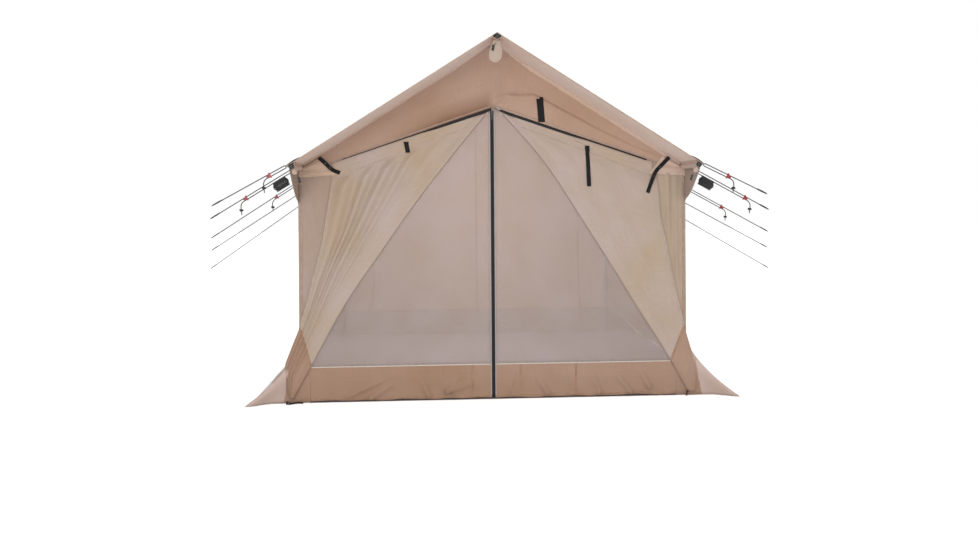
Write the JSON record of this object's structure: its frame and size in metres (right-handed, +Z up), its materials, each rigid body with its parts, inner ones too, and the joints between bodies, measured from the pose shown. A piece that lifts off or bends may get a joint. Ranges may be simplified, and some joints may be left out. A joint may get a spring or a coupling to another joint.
{
  "type": "canvas wall tent",
  "caption": "Canvas wall tent on a tube frame, with a netting door, storm flaps folded back, sod cloth and guy lines.",
  "frame": {"origin": "on the ground, under the middle of the tent's box without its guy lines", "axes": "+Z up, -Y out of the door, +X to the right of someone who stands outside and faces the door"},
  "size_m": [5.1932, 3.546, 2.2433],
  "materials": {
    "steel": "galvanised steel tube",
    "rubber": "matt black cap",
    "sand_canvas": "cotton canvas, sand brown",
    "pale_canvas": "cotton canvas, pale side",
    "brown_canvas": "coated sod cloth, brown",
    "netting": "fine insect netting",
    "zip_nylon": "black coil zip",
    "zinc": "black enamelled zinc",
    "webbing": "black woven webbing",
    "cord": "black braided cord",
    "slider_plastic": "red moulded plastic"
  },
  "bodies": {
    "tent": {"ridge_pole": "steel", "eave_left_pole": "steel", "eave_right_pole": "steel", "rafter_front_left": "steel", "rafter_front_right": "steel", "rafter_rear_left": "steel", "rafter_rear_right": "steel", "leg_front_left": "steel", "leg_front_right": "steel", "leg_rear_left": "steel", "leg_rear_right": "steel", "ridge_fitting_front": "steel", "ridge_fitting_rear": "steel", "eave_fitting_front_left": "steel", "eave_fitting_front_right": "steel", "eave_fitting_rear_left": "steel", "eave_fitting_rear_right": "steel", "pole_cap_ridge": "rubber", "pole_cap_eave_left": "rubber", "pole_cap_eave_right": "rubber", "roof_left": "sand_canvas", "roof_right": "sand_canvas", "gable_front": "sand_canvas", "front_panel_left": "sand_canvas", "front_panel_right": "sand_canvas", "side_wall_left": "sand_canvas", "side_wall_right": "sand_canvas", "rear_wall": "sand_canvas", "guy_line_left_1": "cord", "guy_line_left_2": "cord", "guy_line_left_3": "cord", "guy_line_left_4": "cord", "guy_line_left_5": "cord", "guy_line_right_1": "cord", "guy_line_right_2": "cord", "guy_line_right_3": "cord", "guy_line_right_4": "cord", "guy_line_right_5": "cord", "spare_cord_left": "cord", "spare_cord_right": "cord"},
    "door_leaf_left": {"mesh_leaf_left": "netting", "leaf_skirt_left": "brown_canvas", "zip_tape": "zip_nylon"},
    "door_leaf_right": {"mesh_leaf_right": "netting", "leaf_skirt_right": "brown_canvas"},
    "zip_slider": {"zip_pull": "zinc"},
    "flap_left": {"storm_flap_left": "pale_canvas", "flap_tab_left": "webbing", "corner_tie_left": "webbing"},
    "flap_right": {"storm_flap_right": "pale_canvas", "corner_tie_right": "webbing"},
    "flap_strap": {"flap_strap_right": "webbing"},
    "gable_strap": {"gable_strap": "webbing"},
    "ridge_tongue": {"ridge_tongue": "pale_canvas"},
    "slider_left_1": {"guy_slider_left_1": "slider_plastic"},
    "slider_left_2": {"guy_slider_left_2": "slider_plastic"},
    "slider_left_3": {"guy_slider_left_3": "slider_plastic"},
    "slider_right_1": {"guy_slider_right_1": "slider_plastic"},
    "slider_right_2": {"guy_slider_right_2": "slider_plastic"},
    "slider_right_3": {"guy_slider_right_3": "slider_plastic"}
  },
  "joints": [
    {"name": "door_leaf_left_swing", "type": "hinge", "parent": "tent", "child": "door_leaf_left", "pos_m": [-1.165, -1.33595, 0], "axis": [0, 0, 1], "range_deg": [0, 50]},
    {"name": "door_leaf_right_swing", "type": "hinge", "parent": "tent", "child": "door_leaf_right", "pos_m": [1.165, -1.33595, 0], "axis": [0, 0, -1], "range_deg": [0, 50]},
    {"name": "zip_slider_run", "type": "slide", "parent": "door_leaf_left", "child": "zip_slider", "axis": [0, 0, -1], "range_m": [0, 1.7]},
    {"name": "storm_flap_left_fold", "type": "hinge", "parent": "tent", "child": "flap_left", "pos_m": [-0.045, -1.33955, 1.80069], "axis": [0.549, 0, 0.8358], "range_deg": [0, 150]},
    {"name": "storm_flap_right_fold", "type": "hinge", "parent": "tent", "child": "flap_right", "pos_m": [0.045, -1.33955, 1.80069], "axis": [0.549, 0, -0.8358], "range_deg": [0, 145]},
    {"name": "flap_strap_swing", "type": "hinge", "parent": "flap_right", "child": "flap_strap", "pos_m": [0.592, -1.34165, 1.5972], "axis": [-1, 0, 0], "range_deg": [0, 80]},
    {"name": "gable_strap_swing", "type": "hinge", "parent": "tent", "child": "gable_strap", "pos_m": [0.3, -1.33985, 1.90095], "axis": [-1, 0, 0], "range_deg": [0, 100]},
    {"name": "ridge_tongue_swing", "type": "hinge", "parent": "tent", "child": "ridge_tongue", "pos_m": [0, -1.717, 2.20636], "axis": [1, 0, 0], "range_deg": [-50, 50]},
    {"name": "slider_left_1_run", "type": "slide", "parent": "tent", "child": "slider_left_1", "axis": [0.8753, 0, 0.4835], "range_m": [0, 0.08]},
    {"name": "slider_left_2_run", "type": "slide", "parent": "tent", "child": "slider_left_2", "axis": [0.8531, 0, 0.5218], "range_m": [0, 0.15]},
    {"name": "slider_left_3_run", "type": "slide", "parent": "tent", "child": "slider_left_3", "axis": [0.8392, 0, 0.5438], "range_m": [0, 0.25]},
    {"name": "slider_right_1_run", "type": "slide", "parent": "tent", "child": "slider_right_1", "axis": [-0.8986, 0, 0.4387], "range_m": [0, 0.13]},
    {"name": "slider_right_2_run", "type": "slide", "parent": "tent", "child": "slider_right_2", "axis": [-0.877, 0, 0.4805], "range_m": [0, 0.18]},
    {"name": "slider_right_3_run", "type": "slide", "parent": "tent", "child": "slider_right_3", "axis": [-0.8771, 0, 0.4803], "range_m": [0, 0.5]}
  ]
}
